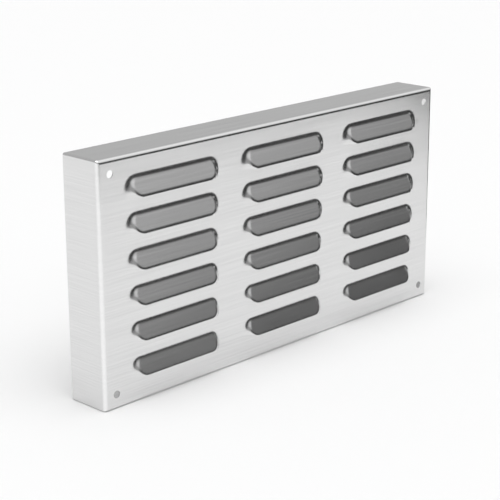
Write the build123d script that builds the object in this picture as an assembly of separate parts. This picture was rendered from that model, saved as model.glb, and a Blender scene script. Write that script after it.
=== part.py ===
"""Grill island vent: one stainless sheet, pressed with louvres and folded into a shallow open pan."""
import math
import os

from build123d import *

# The folded pan, standing on its bottom flange with the louvred face towards -Y
width = 381.0
height = 190.0
flange_depth = 38.0
sheet = 1.0
bend_radius = 3.0
corner_radius = 1.5

# Screw holes in the four corners of the face
hole_diameter = 6.0
hole_inset = 11.5

# Louvre layout: the lowest slit's height, then even steps up and across
column_count = 3
row_count = 6
column_pitch = 118.8
row_pitch = 27.6
first_slit = 20.2

# One louvre: a hood pressed out of the face, closed along its top and ends, open along the slit below.
# Its form is a round-ended boss with tapered sides under a sloping roof, sheared off along the slit.
louvre_half_length = 44.5
end_radius = 11.5
side_angle = 50.0
roof_top = 15.0
roof_angle = 24.5
roof_margin = 0.5
ridge_radius = 4.5
foot_radius = 9.5

# Where the boss lies: its round ends centre on a line above the slit, and its top clears the roof's foot
roof_slope = math.tan(math.radians(roof_angle))
side_slope = math.tan(math.radians(side_angle))
end_height = roof_top + roof_margin - end_radius
boss_bottom = end_height - end_radius
boss_depth = (roof_top - boss_bottom) * roof_slope
boss_behind = ridge_radius

# The patch of sheet that carries one louvre, with flat land all round the bend at its foot
patch_land = 2.5
patch_width = 2 * (louvre_half_length + foot_radius * math.tan(math.radians(side_angle / 2)) + patch_land)
patch_above = roof_top + foot_radius * math.tan(math.radians(roof_angle / 2)) + patch_land
patch_below = patch_land
slab = 2 * boss_behind


def louvre_boss():
    """Solid boss with a sharp foot and a rounded ridge: a tapered slot under a roof, from behind the face."""
    radius = end_radius + boss_behind / side_slope
    outline = Pos(0, end_height) * SlotCenterToCenter(2 * (louvre_half_length - end_radius), 2 * radius)
    back = Plane.XZ.offset(-boss_behind)
    tapered = extrude(back * outline, boss_behind + boss_depth, taper=90 - side_angle)
    lowest = boss_bottom - slab
    highest = roof_top + boss_behind / roof_slope
    furthest_out = (lowest - roof_top) * roof_slope
    roof_line = ((boss_behind, highest), (furthest_out, lowest))
    under_roof = Plane.YZ * Polygon(*roof_line, (boss_behind, lowest), align=None)
    boss = tapered & extrude(under_roof, 2 * louvre_half_length, both=True)
    uphill = Vector(0, -1, roof_slope)
    roof = max(boss.faces(), key=lambda face: face.normal_at().dot(uphill))
    return fillet(roof.edges(), ridge_radius)


def louvre_patch():
    """Patch of sheet with one hood: the front skin of a slab that carries the boss above the slit only."""
    backing = Pos(0, slab / 2, 0) * Box(patch_width, slab, 2 * (patch_above - boss_bottom))
    block = backing + louvre_boss()
    land = block.faces().filter_by_position(Axis.Y, -0.001, 0.001).sort_by(SortBy.AREA)[-1]
    block = fillet(land.inner_wires()[0].edges(), foot_radius)
    hood = block & Pos(0, 0, patch_above / 2) * Box(patch_width, 4 * slab, patch_above)
    below = Pos(0, slab / 2, -patch_below / 2) * Box(patch_width, slab, patch_below)
    block = hood + below
    return block - Pos(0, sheet, 0) * block


def folded_pan():
    """Face and four flanges, open at the back, with rounded bends and dressed corner welds."""
    block = Pos(0, flange_depth / 2, height / 2) * Box(width, flange_depth, height)
    block = fillet(block.faces().sort_by(Axis.Y)[0].edges(), bend_radius)
    corners = [edge for edge in block.edges() if is_corner(edge)]
    block = fillet(corners, corner_radius)
    return offset(block, amount=-sheet, openings=block.faces().sort_by(Axis.Y)[-1])


def is_corner(edge):
    """True for the edges where two flanges meet, out to where their bends run into the face."""
    middle = edge.position_at(0.5)
    near_side = width / 2 - abs(middle.X) < bend_radius
    near_end = height / 2 - abs(middle.Z - height / 2) < bend_radius
    return near_side and near_end


def louvre_places():
    """Middle of each louvre's slit on the face."""
    first_column = -column_pitch * (column_count - 1) / 2
    columns = [first_column + column_pitch * k for k in range(column_count)]
    rows = [first_slit + row_pitch * k for k in range(row_count)]
    return [Pos(x, 0, z) for z in rows for x in columns]


def screw_holes():
    """Cutters for the four corner holes."""
    across = width / 2 - hole_inset
    drill = Rot(90, 0, 0) * Cylinder(hole_diameter / 2, 4 * sheet)
    return [Pos(x, 0, z) * drill for x in (-across, across) for z in (hole_inset, height - hole_inset)]


def vent_panel():
    """The whole vent, centred on the origin with its bottom flange on the ground."""
    patch = louvre_patch()
    middle_z = (patch_above - patch_below) / 2
    window = Pos(0, 0, middle_z) * Box(patch_width, 4 * sheet, patch_above + patch_below)
    panel = folded_pan() - screw_holes() - [place * window for place in louvre_places()]
    panel = panel + [place * patch for place in louvre_places()]
    return Pos(0, -panel.bounding_box().center().Y, 0) * panel


os.makedirs("parts", exist_ok=True)
panel = vent_panel()
panel.label = "vent_panel"
export_step(panel, "parts/vent_panel.step")
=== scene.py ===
import math

import bmesh
import bpy
import numpy as np
from mathutils import Matrix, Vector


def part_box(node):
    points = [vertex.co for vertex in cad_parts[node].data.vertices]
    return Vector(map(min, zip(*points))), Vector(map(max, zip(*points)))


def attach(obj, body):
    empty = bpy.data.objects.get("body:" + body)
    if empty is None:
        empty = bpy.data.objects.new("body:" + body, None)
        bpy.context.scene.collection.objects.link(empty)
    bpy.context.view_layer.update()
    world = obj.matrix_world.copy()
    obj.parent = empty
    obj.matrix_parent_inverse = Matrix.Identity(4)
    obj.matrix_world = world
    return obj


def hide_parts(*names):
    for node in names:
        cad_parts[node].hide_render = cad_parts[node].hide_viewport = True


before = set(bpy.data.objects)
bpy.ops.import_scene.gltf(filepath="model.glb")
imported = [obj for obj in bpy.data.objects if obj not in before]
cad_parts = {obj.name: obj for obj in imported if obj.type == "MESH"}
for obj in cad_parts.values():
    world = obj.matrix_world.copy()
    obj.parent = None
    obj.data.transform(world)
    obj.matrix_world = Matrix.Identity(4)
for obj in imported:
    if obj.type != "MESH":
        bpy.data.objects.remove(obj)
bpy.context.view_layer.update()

# The vent sheet
# The whole vent is one stainless sheet about a millimetre thick. The louvres are pressed out of its face
# and the four screw holes are punched, then its edges are folded back into flanges, and the corners of
# the flanges are welded and dressed.
mm = 0.001
low, high = (np.array(point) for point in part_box("vent_panel"))
half_width = (high[0] - low[0]) / 2
height = high[2] - low[2]
sheet = 1.0 * mm
bend = 3.0 * mm
corner = 1.5 * mm
flange_depth = 38.0 * mm
face_y = high[1] - flange_depth
hole_radius = 3.0 * mm
hole_inset = 11.5 * mm

# Louvre layout: the middle of each column, and the height of each row's slit
column_count = 3
row_count = 6
column_pitch = 118.8 * mm
row_pitch = 27.6 * mm
first_slit = 20.2 * mm
columns = column_pitch * (np.arange(column_count) - (column_count - 1) / 2)
slits = first_slit + row_pitch * np.arange(row_count)

# One louvre: a hood with round ends, closed along its top and open along the slit below
half_length = 44.5 * mm
end_radius = 11.5 * mm
roof_top = 15.0 * mm
roof_margin = 0.5 * mm
roof_slope = math.tan(math.radians(24.5))
side_angle = math.radians(50)
side_slope = math.tan(side_angle)
ridge_radius = 4.5 * mm
foot_radius = 9.5 * mm
end_height = roof_top + roof_margin - end_radius
speck = 1e-9  # keeps a division from failing where a length is zero


def hood_height(x, z):
    """How far a louvre stands out of the face, at x from its middle and z above its slit.

    A louvre is a round-ended boss about a level middle line. In a section square to that line, or through
    the centre of a round end, its surface is a sloping roof, a round ridge, a tapered side and a hollow
    round foot on the face, each tangent to the next. Where there is no room for the side, the foot meets
    the ridge or the roof.
    """
    up = z - end_height
    past_end = np.maximum(np.abs(x) - (half_length - end_radius), 0)
    reach = np.hypot(past_end, up)
    fall = roof_slope * up / np.maximum(reach, speck)
    roof_tilt = np.arctan(fall)
    crown = (roof_top - end_height) * roof_slope

    # The ridge's centre lies one radius inside both the roof and the side
    below_roof = ridge_radius / np.cos(roof_tilt)
    below_side = ridge_radius / math.cos(side_angle)
    ridge_at = (end_radius * side_slope - below_side - crown + below_roof) / (side_slope - fall)
    ridge_level = crown - fall * ridge_at - below_roof

    # The foot meets the side, the ridge or the roof, by the tilt at which it would touch the ridge
    both_radii = ridge_radius + foot_radius
    touch = np.arccos(np.clip((foot_radius - ridge_level) / both_radii, -1, 1))
    foot_on_roof = crown / np.maximum(fall, speck) + foot_radius * np.tan(roof_tilt / 2)
    foot_on_side = end_radius + foot_radius * math.tan(side_angle / 2)
    foot_at = np.where(touch > side_angle, foot_on_side, ridge_at + both_radii * np.sin(touch))
    foot_at = np.where(touch < roof_tilt, foot_on_roof, foot_at)
    foot_from = foot_at - foot_radius * np.sin(np.clip(touch, roof_tilt, side_angle))

    roof = crown - fall * reach
    ridge = ridge_level + np.sqrt(np.maximum(ridge_radius ** 2 - (reach - ridge_at) ** 2, 0))
    side = (end_radius - reach) * side_slope
    foot = foot_radius - np.sqrt(np.maximum(foot_radius ** 2 - (foot_at - reach) ** 2, 0))
    boss = np.where(reach < ridge_at + ridge_radius * np.sin(roof_tilt), roof, ridge)
    boss = np.where(reach > ridge_at + ridge_radius * math.sin(side_angle), side, boss)
    return np.where(reach > foot_at, 0.0, np.where(reach > foot_from, foot, boss))


def grid_lines(*groups):
    """All the grid lines of one direction, in order and each only once."""
    return np.unique(np.round(np.concatenate(groups), 7))


# Grid lines over the face: close along the louvres' ends and roofs, sparse on the flat, even at each hole
lines_on_end = 25
lines_on_middle = 9
lines_on_roof = 23
lines_on_hole = 9
middle_share = 0.62
hood_half = half_length + foot_radius * math.tan(side_angle / 2)
hood_top = roof_top + foot_radius * math.tan(math.atan(roof_slope) / 2)

# A slit gapes as far out as its lip stands a sheet's thickness off the face
slit_line = np.linspace(0.8 * half_length, hood_half, 400)
slit_end = np.interp(-sheet, -hood_height(slit_line, 0.0), slit_line)
end_lines = np.append(np.linspace(middle_share * hood_half, hood_half, lines_on_end), slit_end)
middle_lines = np.linspace(-middle_share, middle_share, lines_on_middle) * hood_half
hood_x = np.concatenate([-end_lines, middle_lines, end_lines])
hood_z = np.linspace(0, hood_top, lines_on_roof)
hole_square = 0.42 * hole_inset
hole_lines = hole_square * np.linspace(-1, 1, lines_on_hole)
hole_x = half_width - hole_inset
hole_z = np.array([hole_inset, height - hole_inset])
face_half = half_width - bend
face_low, face_high = bend, height - bend
edge_land = 0.6 * mm
x_lines = grid_lines(
    [-face_half, edge_land - face_half, face_half - edge_land, face_half],
    hole_lines - hole_x, hole_lines + hole_x, (columns[:, None] + hood_x).ravel())
z_lines = grid_lines(
    [face_low, face_low + edge_land, face_high - edge_land, face_high],
    (hole_z[:, None] + hole_lines).ravel(), (slits[:, None] + hood_z).ravel())

# The face as two skins a sheet apart. Each slit's line is there twice: flat below it, on the lip above it
hair = 0.001 * mm  # lengths that differ by less count as the same
slit_rows = np.searchsorted(z_lines, slits - hair)
z_rows = np.insert(z_lines, slit_rows, z_lines[slit_rows])
below_rows = slit_rows + np.arange(row_count)
louvre_of_row = np.searchsorted(slits, z_rows + hair) - 1
louvre_of_row[below_rows] -= 1
above_slit = np.where(louvre_of_row < 0, row_pitch, z_rows - slits[louvre_of_row])
from_middle = x_lines - columns[np.abs(x_lines[:, None] - columns).argmin(1)]
rise = hood_height(from_middle[None, :], above_slit[:, None])
grid_x, grid_z = np.meshgrid(x_lines, z_rows)
front = np.stack([grid_x, face_y - rise, grid_z], -1).reshape(-1, 3)
back = front + (0, sheet, 0)
number = np.arange(rise.size).reshape(rise.shape)


def quads(a, b, c, d):
    """Four arrays of vertex numbers as rows of quads."""
    return np.stack([np.ravel(a), np.ravel(b), np.ravel(c), np.ravel(d)], 1)


cell_x = (x_lines[1:] + x_lines[:-1]) / 2
cell_z = (z_rows[1:] + z_rows[:-1]) / 2
in_hole_x = np.abs(np.abs(cell_x) - hole_x) < hole_square
in_hole_z = np.abs(cell_z[:, None] - hole_z).min(1) < hole_square
kept = ~(in_hole_z[:, None] & in_hole_x[None, :])
kept[below_rows] = False
front_cells = quads(number[:-1, :-1], number[:-1, 1:], number[1:, 1:], number[1:, :-1])[kept.ravel()]
behind = number.size
points = [front, back]
faces = [front_cells, front_cells[:, ::-1] + behind]

# The cut edges of the slits: lip and sill where the slit gapes, two steps where the lip runs into the face
for row in below_rows:
    lip = rise[row + 1]
    open_here = lip > sheet - 0.1 * hair
    gapes = open_here[:-1] & open_here[1:]
    steps = ~gapes & ((lip[:-1] > 0) | (lip[1:] > 0))
    sill, edge = number[row], number[row + 1]
    faces.append(quads(edge[:-1], edge[:-1] + behind, edge[1:] + behind, edge[1:])[gapes])
    faces.append(quads(sill[:-1], sill[1:], sill[1:] + behind, sill[:-1] + behind)[gapes])
    faces.append(quads(edge[:-1], sill[:-1], sill[1:], edge[1:])[steps])
    faces.append(quads(edge[:-1], edge[1:], sill[1:], sill[:-1])[steps] + behind)

# The screw holes: a ring from the square round each hole to its edge, on both skins, and the wall between
for centre_x in (-hole_x, hole_x):
    for centre_z in hole_z:
        centre = (centre_x, face_y, centre_z)
        near_x = np.flatnonzero(np.abs(x_lines - centre_x) < hole_square + hair)
        near_z = np.flatnonzero(np.abs(z_rows - centre_z) < hole_square + hair)
        square = number[near_z[0]:near_z[-1] + 1, near_x[0]:near_x[-1] + 1]
        ring = np.concatenate([square[0, :-1], square[:-1, -1], square[-1, :0:-1], square[:0:-1, 0]])
        outward = front[ring] - centre
        rim = outward * hole_radius / np.linalg.norm(outward, axis=1)[:, None] + centre
        front_rim = sum(len(block) for block in points) + np.arange(len(ring))
        back_rim = front_rim + len(ring)
        after = np.roll(np.arange(len(ring)), -1)
        points += [rim, rim + (0, sheet, 0)]
        faces.append(quads(ring, ring[after], front_rim[after], front_rim))
        faces.append(quads(ring[after] + behind, ring + behind, back_rim, back_rim[after]))
        faces.append(quads(front_rim, front_rim[after], back_rim[after], back_rim))

# The section of a bend and its flange, as distances in from the flange and back from the face: out over
# the bend, along the flange and round its cut rim, then back along the inside
bend_turn = np.linspace(0, math.pi / 2, 8)
inner_bend = bend - sheet
rim_round = 0.25 * mm
rim_turn = np.linspace(0, math.pi / 2, 4)
rim_inset = rim_round * (1 - np.cos(rim_turn))
rim_depth = flange_depth - rim_round * (1 - np.sin(rim_turn))
straight = bend + np.array([0.1, 0.4, 0.7, 0.98]) * (flange_depth - bend)
inset = np.concatenate([
    bend - bend * np.sin(bend_turn), np.zeros(len(straight)), rim_inset,
    sheet - rim_inset[::-1], np.repeat(sheet, len(straight)), bend - inner_bend * np.sin(bend_turn[::-1])])
depth = np.concatenate([
    bend - bend * np.cos(bend_turn), straight, rim_depth,
    rim_depth[::-1], straight[::-1], bend - inner_bend * np.cos(bend_turn[::-1])])
inside = np.arange(len(inset)) >= len(inset) / 2

# The line that carries the section: the face's edge, anticlockwise from its lower left, with a fan of
# directions at each corner
quarter = np.linspace(0, math.pi / 2, 6)
fan = len(quarter)
runs = [len(x_lines), fan, len(z_lines), fan]
right_x = np.repeat(face_half, sum(runs[1:]))
ring_x = np.concatenate([x_lines, right_x, -x_lines, -right_x])
bottom_z = np.repeat(face_low, len(x_lines) + fan)
top_z = np.repeat(face_high, fan + len(x_lines) + fan)
ring_z = np.concatenate([bottom_z, z_lines, top_z, z_lines[::-1], np.repeat(face_low, fan)])
down = np.repeat(-math.pi / 2, len(x_lines))
half_facing = np.concatenate([down, quarter - math.pi / 2, np.zeros(len(z_lines)), quarter])
facing = np.concatenate([half_facing, half_facing + math.pi])

# The bends and flanges: each corner starts from a point on the face and opens into an arc along its bend
in_corner = np.tile(np.repeat([False, True, False, True], runs), 2)
opened = np.clip((bend - inset) / (bend - np.where(inside, sheet, 0)), 0, 1)
arc = opened * np.where(inside, corner - sheet, corner)
centre_out = np.where(in_corner, (bend - inset - arc)[:, None], 0)
reach_out = np.where(in_corner, arc[:, None], (bend - inset)[:, None])
skirt = np.stack([
    ring_x + np.sign(ring_x) * centre_out + reach_out * np.cos(facing),
    np.repeat((face_y + depth)[:, None], len(ring_x), axis=1),
    ring_z + np.sign(ring_z - height / 2) * centre_out + reach_out * np.sin(facing)], -1)
before_skirt = sum(len(block) for block in points)
ring_number = before_skirt + np.arange(centre_out.size).reshape(centre_out.shape)
next_number = np.roll(ring_number, -1, axis=1)
faces.append(quads(ring_number[:-1], ring_number[1:], next_number[1:], next_number[:-1]))

# Each point's place on the flat blank before folding, so that the brushed grain runs unbroken over the
# bends, and a painted highlight along the outer skin of each bend, strongest halfway round it
along = np.concatenate([[0], np.cumsum(np.hypot(np.diff(inset), np.diff(depth)))])[:, None]
skirt_blank = np.stack([ring_x + along * np.cos(facing), ring_z + along * np.sin(facing)], -1)
blank = np.concatenate([block[:, [0, 2]] for block in points] + [skirt_blank.reshape(-1, 2)])
bend_highlight_profile = np.zeros(len(inset))
bend_highlight_profile[:len(bend_turn)] = np.sin(2 * bend_turn)
bend_highlight_weight = np.concatenate([np.zeros(before_skirt), np.repeat(bend_highlight_profile, len(ring_x))])

vent_mesh = bpy.data.meshes.new("vent_sheet")
vent_mesh.from_pydata(np.concatenate(points + [skirt.reshape(-1, 3)]), [], np.concatenate(faces))
blank_and_bend_highlight = vent_mesh.attributes.new("blank_and_bend_highlight", "FLOAT_VECTOR", "POINT")
blank_and_bend_highlight.data.foreach_set("vector", np.column_stack([blank, bend_highlight_weight]).ravel())
joined = bmesh.new()
joined.from_mesh(vent_mesh)
bmesh.ops.remove_doubles(joined, verts=joined.verts, dist=2 * hair)
bmesh.ops.dissolve_degenerate(joined, edges=joined.edges, dist=hair)
joined.to_mesh(vent_mesh)
joined.free()
vent_mesh.shade_smooth()
vent_mesh.set_sharp_from_angle(angle=math.radians(35))
vent = bpy.data.objects.new("vent_sheet", vent_mesh)
bpy.context.collection.objects.link(vent)


def brushed_grain():
    """Node group: noise drawn out along the blank's width, as fine scratches, streaks and broad clouds."""
    group = bpy.data.node_groups.new("brushed_grain", "ShaderNodeTree")
    group.interface.new_socket("Place", in_out="INPUT", socket_type="NodeSocketVector")
    for name in ("Scratches", "Streaks", "Clouds"):
        group.interface.new_socket(name, in_out="OUTPUT", socket_type="NodeSocketFloat")
    nodes, links = group.nodes, group.links
    start = nodes.new("NodeGroupInput")
    end = nodes.new("NodeGroupOutput")
    for name, per_metre, detail in (
        ("Scratches", (60, 5000, 1), 3), ("Streaks", (10, 900, 1), 5), ("Clouds", (9, 22, 1), 3)
    ):
        mapping = nodes.new("ShaderNodeMapping")
        mapping.inputs["Scale"].default_value = per_metre
        noise = nodes.new("ShaderNodeTexNoise")
        noise.inputs["Scale"].default_value = 1
        noise.inputs["Detail"].default_value = detail
        links.new(start.outputs["Place"], mapping.inputs["Vector"])
        links.new(mapping.outputs["Vector"], noise.inputs["Vector"])
        links.new(noise.outputs["Fac"], end.inputs[name])
    return group


def spread(tree, noise, least, most):
    """The middle range of a noise, 0.3 to 0.7, spread from the least to the most of a tone or roughness."""
    node = tree.nodes.new("ShaderNodeMapRange")
    for socket, value in (("From Min", 0.3), ("From Max", 0.7), ("To Min", least), ("To Max", most)):
        node.inputs[socket].default_value = value
    tree.links.new(noise, node.inputs["Value"])
    return node.outputs["Result"]


# Brushed stainless: streaked in tone, clouded in polish and finely scratched, with a painted highlight
# that brightens the tone along the outside of each bend
stainless = bpy.data.materials.new("stainless_sheet")
stainless.use_nodes = True
nodes, links = stainless.node_tree.nodes, stainless.node_tree.links
steel = nodes["Principled BSDF"]
steel.inputs["Metallic"].default_value = 1
place = nodes.new("ShaderNodeAttribute")
place.attribute_name = "blank_and_bend_highlight"
grain = nodes.new("ShaderNodeGroup")
grain.node_tree = brushed_grain()
links.new(place.outputs["Vector"], grain.inputs["Place"])
# The painted bend highlight: the blank's third value lifts the streaked tone along each bend
bend_highlight_part = nodes.new("ShaderNodeSeparateXYZ")
links.new(place.outputs["Vector"], bend_highlight_part.inputs["Vector"])
brightened = nodes.new("ShaderNodeMath")
brightened.operation = "MULTIPLY_ADD"
brightened.inputs[1].default_value = 0.17
links.new(bend_highlight_part.outputs["Z"], brightened.inputs[0])
links.new(spread(stainless.node_tree, grain.outputs["Streaks"], 0.69, 0.78), brightened.inputs[2])
tint = nodes.new("ShaderNodeCombineColor")
for channel in ("Red", "Green", "Blue"):
    links.new(brightened.outputs["Value"], tint.inputs[channel])
links.new(tint.outputs["Color"], steel.inputs["Base Color"])
links.new(spread(stainless.node_tree, grain.outputs["Clouds"], 0.17, 0.21), steel.inputs["Roughness"])
scratch = nodes.new("ShaderNodeBump")
scratch.inputs["Strength"].default_value = 0.08
scratch.inputs["Distance"].default_value = 0.05 * mm
links.new(grain.outputs["Scratches"], scratch.inputs["Height"])
links.new(scratch.outputs["Normal"], steel.inputs["Normal"])
vent_mesh.materials.append(stainless)

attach(vent, "root")
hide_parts("vent_panel")

# The floor
# A plain pale sheet that the vent stands on. It runs far back behind the vent. In front it ends a little
# way off, and nearer still on the right, where the room is dark.
floor_tone = 0.93
floor_left, floor_right = -3.0, 3.4
floor_front, floor_back = -0.80, 4.0
right_edge = -0.03
floor_corners = [
    (floor_left, floor_front, 0), (0.40, floor_front, 0), (1.05, -0.68, 0), (0.35, right_edge, 0),
    (floor_right, right_edge, 0), (floor_right, floor_back, 0), (floor_left, floor_back, 0)]
floor_mesh = bpy.data.meshes.new("floor")
floor_mesh.from_pydata(floor_corners, [], [range(len(floor_corners))])
floor = bpy.data.objects.new("floor", floor_mesh)
bpy.context.collection.objects.link(floor)
paper = bpy.data.materials.new("pale_floor")
paper.use_nodes = True
matt = paper.node_tree.nodes["Principled BSDF"]
matt.inputs["Base Color"].default_value = (floor_tone, floor_tone, floor_tone, 1)
matt.inputs["Roughness"].default_value = 0.9
floor_mesh.materials.append(paper)

# The studio light
# The room is dark low down in front, paler on the left, light higher up, and an even grey behind the vent.
# A broad soft lamp hangs overhead, and a small panel stands far off on the right.
shade_at_elevation = (
    (-90, 0.05), (12, 0.05), (15, 0.07), (17, 0.13), (18.5, 0.34),
    (20, 0.46), (24, 0.55), (30, 0.78), (90, 0.90))
left_shade = 0.36
rear_shade = 0.53
room = bpy.data.worlds.new("studio")
bpy.context.scene.world = room
room.use_nodes = True
nodes, links = room.node_tree.nodes, room.node_tree.links
direction = nodes.new("ShaderNodeTexCoord")
split = nodes.new("ShaderNodeSeparateXYZ")
links.new(direction.outputs["Generated"], split.inputs["Vector"])
elevation = nodes.new("ShaderNodeMath")
elevation.operation = "ARCSINE"
links.new(split.outputs["Z"], elevation.inputs[0])
span = nodes.new("ShaderNodeMapRange")
span.inputs["From Min"].default_value = math.radians(-90)
span.inputs["From Max"].default_value = math.radians(90)
links.new(elevation.outputs["Value"], span.inputs["Value"])
sky = nodes.new("ShaderNodeValToRGB")
links.new(span.outputs["Result"], sky.inputs["Fac"])
stops = sky.color_ramp.elements
for degrees, shade in shade_at_elevation[1:-1]:
    stops.new((degrees + 90) / 180)
for stop, (degrees, shade) in zip(stops, shade_at_elevation):
    stop.color = (shade, shade, shade, 1)


def shaded_side(base, shade, way, axis, start, end):
    """The room's shade mixed with a grey, smoothly as the view along an axis goes from start to end."""
    mask = nodes.new("ShaderNodeMapRange")
    mask.interpolation_type = "SMOOTHSTEP"
    mask.inputs["From Min"].default_value = start
    mask.inputs["From Max"].default_value = end
    links.new(split.outputs[axis], mask.inputs["Value"])
    mix = nodes.new("ShaderNodeMix")
    mix.data_type = "RGBA"
    mix.blend_type = way
    mix.inputs["B"].default_value = (shade, shade, shade, 1)
    links.new(mask.outputs["Result"], mix.inputs["Factor"])
    links.new(base, mix.inputs["A"])
    return mix.outputs["Result"]


paler_left = shaded_side(sky.outputs["Color"], left_shade, "LIGHTEN", "X", 0.1, -0.5)
grey_rear = shaded_side(paler_left, rear_shade, "MIX", "Y", 0.15, 0.45)
links.new(grey_rear, nodes["Background"].inputs["Color"])

softbox = bpy.data.lights.new("softbox", "SUN")
softbox.angle = math.radians(60)
softbox.energy = 1.28
overhead_lamp = bpy.data.objects.new("softbox", softbox)
overhead_lamp.rotation_euler = (math.radians(14), 0, math.radians(-30))
bpy.context.collection.objects.link(overhead_lamp)
side_panel = bpy.data.lights.new("side_panel", "AREA")
side_panel.size = 0.5
side_panel.energy = 0.4
side_lamp = bpy.data.objects.new("side_panel", side_panel)
side_lamp.location = (2.3, -0.95, 0.55)
side_lamp.rotation_euler = (math.radians(80), 0, math.radians(67))
bpy.context.collection.objects.link(side_lamp)

# The camera
# It looks down on the vent from the left front, at the photograph's angle, through a long lens.
lens = bpy.data.cameras.new("camera")
lens.sensor_width = 36
lens.lens = 107.5
camera = bpy.data.objects.new("camera", lens)
heading = Matrix.Rotation(math.radians(-45.69), 4, "Z")
pitch = Matrix.Rotation(math.radians(90 - 16.85), 4, "X")
roll = Matrix.Rotation(math.radians(-0.23), 4, "Z")
camera.rotation_euler = (heading @ pitch @ roll).to_euler()
camera.location = (-0.8419, face_y - 0.7849, 0.4321)
bpy.context.collection.objects.link(camera)
bpy.context.scene.camera = camera
bpy.context.scene.view_settings.view_transform = "Standard"
